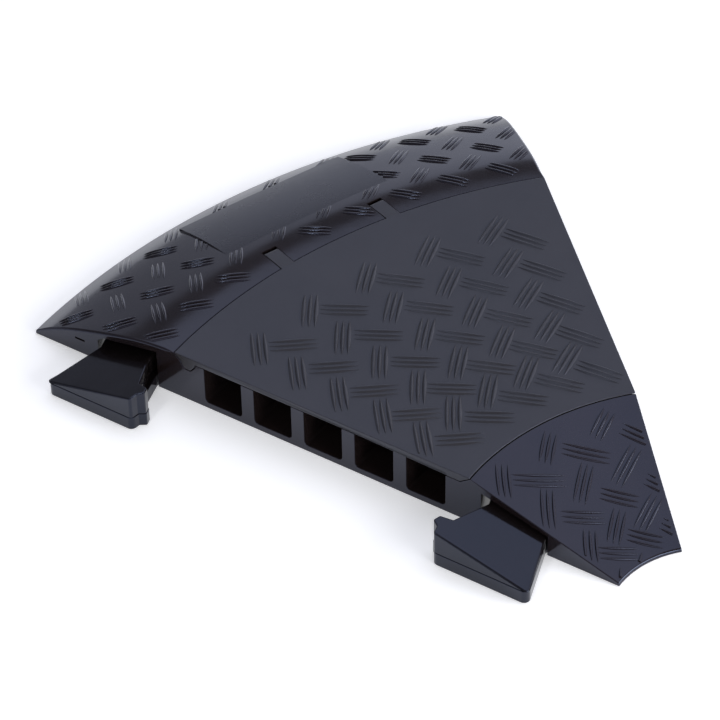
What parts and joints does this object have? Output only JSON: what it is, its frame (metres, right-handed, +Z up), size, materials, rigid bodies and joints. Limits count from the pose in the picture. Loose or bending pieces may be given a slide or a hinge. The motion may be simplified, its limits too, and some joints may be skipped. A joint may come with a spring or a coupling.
{
  "type": "cable protector ramp",
  "caption": "Curved floor ramp that covers and protects cables in open-ended channels under a hinged lid, with connector keys at one end and matching sockets at the other.",
  "frame": {"origin": "on the underside, on the bend's middle plane, 350 mm from the bend's centre line, which is the mean radius of the bend", "axes": "+Z up from the underside; +Y from the bend's centre line towards the outside of the bend; +X from the near end, which carries the connector keys, to the far end, which has the empty sockets"},
  "size_m": [0.5031, 0.548, 0.046],
  "materials": {
    "base_rubber": "smooth, glossy cast polyurethane with raised tread",
    "lid_plastic": "fine matte texture with soft raised tread",
    "key_rubber": "smooth, satin cast polyurethane",
    "rod_fibreglass": "ground fibreglass rod"
  },
  "bodies": {
    "base": {"outer_ramp": "base_rubber", "inner_ramp": "base_rubber", "channel_floor": "base_rubber", "divider_1": "base_rubber", "divider_2": "base_rubber", "divider_3": "base_rubber", "divider_4": "base_rubber", "hinge_rod_near": "rod_fibreglass", "hinge_rod_far": "rod_fibreglass"},
    "lid": {"cover_lid": "lid_plastic"},
    "outer_key": {"connector_key_outer": "key_rubber"},
    "inner_key": {"connector_key_inner": "key_rubber"}
  },
  "joints": [
    {"name": "lid_hinge", "type": "hinge", "parent": "base", "child": "lid", "pos_m": [0, 0.1495, 0.0388], "axis": [-1, 0, 0], "range_deg": [0, 95]},
    {"name": "outer_key_drop", "type": "slide", "parent": "base", "child": "outer_key", "axis": [0, 0, -1], "range_m": [0, 0.05]},
    {"name": "inner_key_drop", "type": "slide", "parent": "base", "child": "inner_key", "axis": [0, 0, -1], "range_m": [0, 0.05]}
  ]
}
